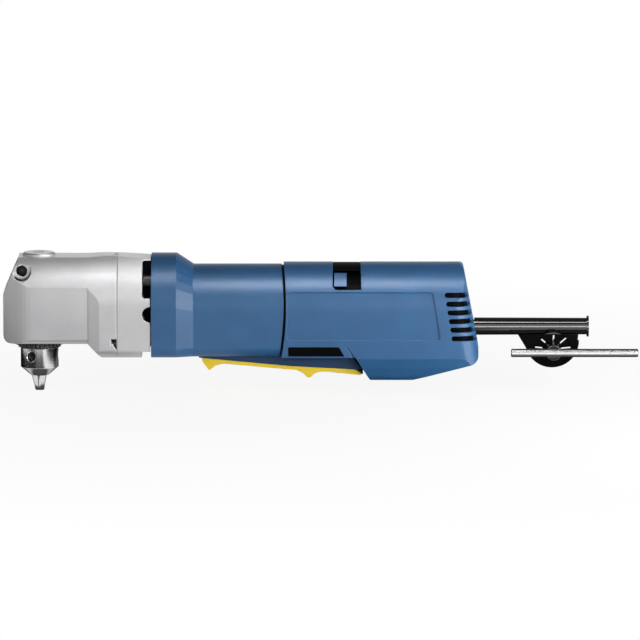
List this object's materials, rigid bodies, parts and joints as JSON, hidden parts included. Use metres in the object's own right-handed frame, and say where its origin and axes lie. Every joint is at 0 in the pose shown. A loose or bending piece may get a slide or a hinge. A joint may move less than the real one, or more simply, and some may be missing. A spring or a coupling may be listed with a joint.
{
  "type": "right angle drill",
  "caption": "Hand-held mains right angle drill: cast gear head with keyed chuck, barrel grip with squeeze lever, vented rear shells, cord sleeve holding a chuck key.",
  "frame": {"origin": "where the chuck's axis meets the level of the motor's axis", "axes": "-Z along the chuck axis out of the jaws, +X back along the motor axis towards the cord sleeve, -Y the side that the picture shows"},
  "size_m": [0.4686, 0.072, 0.1029],
  "materials": {
    "cast_aluminium": "satin cast",
    "flange_aluminium": "satin cast, lighter",
    "blue_plastic": "fine moulded texture",
    "dark_blue_plastic": "fine moulded texture",
    "yellow_plastic": "smooth moulded",
    "black_rubber": "semi-gloss",
    "black_plastic": "moulded",
    "bright_steel": "polished",
    "dark_steel": "blackened",
    "turned_steel": "turned",
    "bearing_steel": "ground",
    "screw_steel": "blackened",
    "lamination_steel": "stacked sheet",
    "copper_winding": "enamelled wire",
    "commutator_copper": "turned",
    "brass": "drawn",
    "carbon": "pressed graphite",
    "suppressor_film": "dipped"
  },
  "bodies": {
    "housing": {"gear_head": "cast_aluminium", "bearing_cap": "cast_aluminium", "spindle_lower_bearing": "bearing_steel", "spindle_upper_bearing": "bearing_steel", "bearing_retainer": "dark_steel", "intermediate_front_bearing": "bearing_steel", "intermediate_rear_bearing": "bearing_steel", "bearing_flange": "flange_aluminium", "head_screws": "screw_steel", "flange_screws": "screw_steel", "top_flange_screw": "screw_steel", "motor_housing": "blue_plastic", "field_core": "lamination_steel", "field_coils": "copper_winding", "motor_front_bearing": "bearing_steel", "motor_rear_bearing": "bearing_steel", "brush_holders": "brass", "carbon_brushes": "carbon", "brush_springs": "turned_steel", "rear_shell_left": "blue_plastic", "rear_shell_right": "blue_plastic", "shell_screws": "screw_steel", "slider_guide": "black_plastic", "switch_module": "black_plastic", "lever_pin": "turned_steel", "lever_spring": "turned_steel", "suppressor": "suppressor_film", "cord_clamp": "black_plastic", "clamp_screws": "screw_steel", "cord_sleeve": "black_rubber"},
    "armature": {"armature_shaft": "turned_steel", "armature_core": "lamination_steel", "armature_windings": "copper_winding", "commutator": "commutator_copper", "cooling_fan": "black_plastic"},
    "intermediate": {"intermediate_shaft": "turned_steel", "intermediate_gear": "turned_steel"},
    "spindle": {"spindle": "turned_steel", "crown_gear": "turned_steel", "chuck_body": "bright_steel"},
    "ring": {"chuck_ring": "dark_steel", "chuck_nut": "dark_steel"},
    "jaw_a": {"jaw_1": "bright_steel"},
    "jaw_b": {"jaw_2": "bright_steel"},
    "jaw_c": {"jaw_3": "bright_steel"},
    "lever": {"switch_lever": "dark_blue_plastic", "lever_pad": "yellow_plastic"},
    "plunger": {"switch_plunger": "black_plastic"},
    "slider": {"direction_slider": "blue_plastic", "slider_carrier": "black_plastic"},
    "key": {"chuck_key": "bright_steel"},
    "bar": {"tommy_bar": "bright_steel"}
  },
  "joints": [
    {"name": "armature_spin", "type": "hinge", "parent": "housing", "child": "armature", "pos_m": [0.1, 0, 0], "axis": [1, 0, 0], "continuous": true},
    {"name": "intermediate_spin", "type": "hinge", "parent": "housing", "child": "intermediate", "pos_m": [0.04, 0, 0.0162], "axis": [1, 0, 0], "continuous": true},
    {"name": "spindle_spin", "type": "hinge", "parent": "housing", "child": "spindle", "pos_m": [0, 0, 0], "axis": [0, 0, 1], "continuous": true},
    {"name": "chuck_ring_turn", "type": "hinge", "parent": "spindle", "child": "ring", "pos_m": [0, 0, -0.03], "axis": [0, 0, 1], "range_deg": [0, 3983.8]},
    {"name": "jaw_1_slide", "type": "slide", "parent": "spindle", "child": "jaw_a", "axis": [-0.2337, -0.0626, 0.9703], "range_m": [0, 0.01757]},
    {"name": "jaw_2_slide", "type": "slide", "parent": "spindle", "child": "jaw_b", "axis": [0.1711, -0.1711, 0.9703], "range_m": [0, 0.01757]},
    {"name": "jaw_3_slide", "type": "slide", "parent": "spindle", "child": "jaw_c", "axis": [0.0626, 0.2337, 0.9703], "range_m": [0, 0.01757]},
    {"name": "lever_squeeze", "type": "hinge", "parent": "housing", "child": "lever", "pos_m": [0.121, 0, -0.03], "axis": [0, -1, 0], "range_deg": [0, 3], "stiffness_Nm_per_rad": 3, "springref_deg": -6.88, "deforming": ["lever_spring"]},
    {"name": "plunger_press", "type": "slide", "parent": "housing", "child": "plunger", "axis": [0, 0, 1], "range_m": [0, 0.0046]},
    {"name": "direction_slide", "type": "slide", "parent": "housing", "child": "slider", "axis": [1, 0, 0], "range_m": [0, 0.0094]},
    {"name": "key_turn", "type": "hinge", "parent": "housing", "child": "key", "pos_m": [0.3801, 0, -0.0326], "axis": [0, 1, 0], "range_deg": [-120, 120]},
    {"name": "bar_slide", "type": "slide", "parent": "key", "child": "bar", "axis": [1, 0, 0], "range_m": [-0.022, 0.024]}
  ],
  "couplings": [
    {"joint": "intermediate_spin", "follows": "armature_spin", "ratio": -0.14894},
    {"joint": "spindle_spin", "follows": "armature_spin", "ratio": -0.033097},
    {"joint": "jaw_1_slide", "follows": "chuck_ring_turn", "m_per_rad": 0.00025266},
    {"joint": "jaw_2_slide", "follows": "chuck_ring_turn", "m_per_rad": 0.00025266},
    {"joint": "jaw_3_slide", "follows": "chuck_ring_turn", "m_per_rad": 0.00025266},
    {"joint": "plunger_press", "follows": "lever_squeeze", "m_per_rad": 0.084}
  ]
}
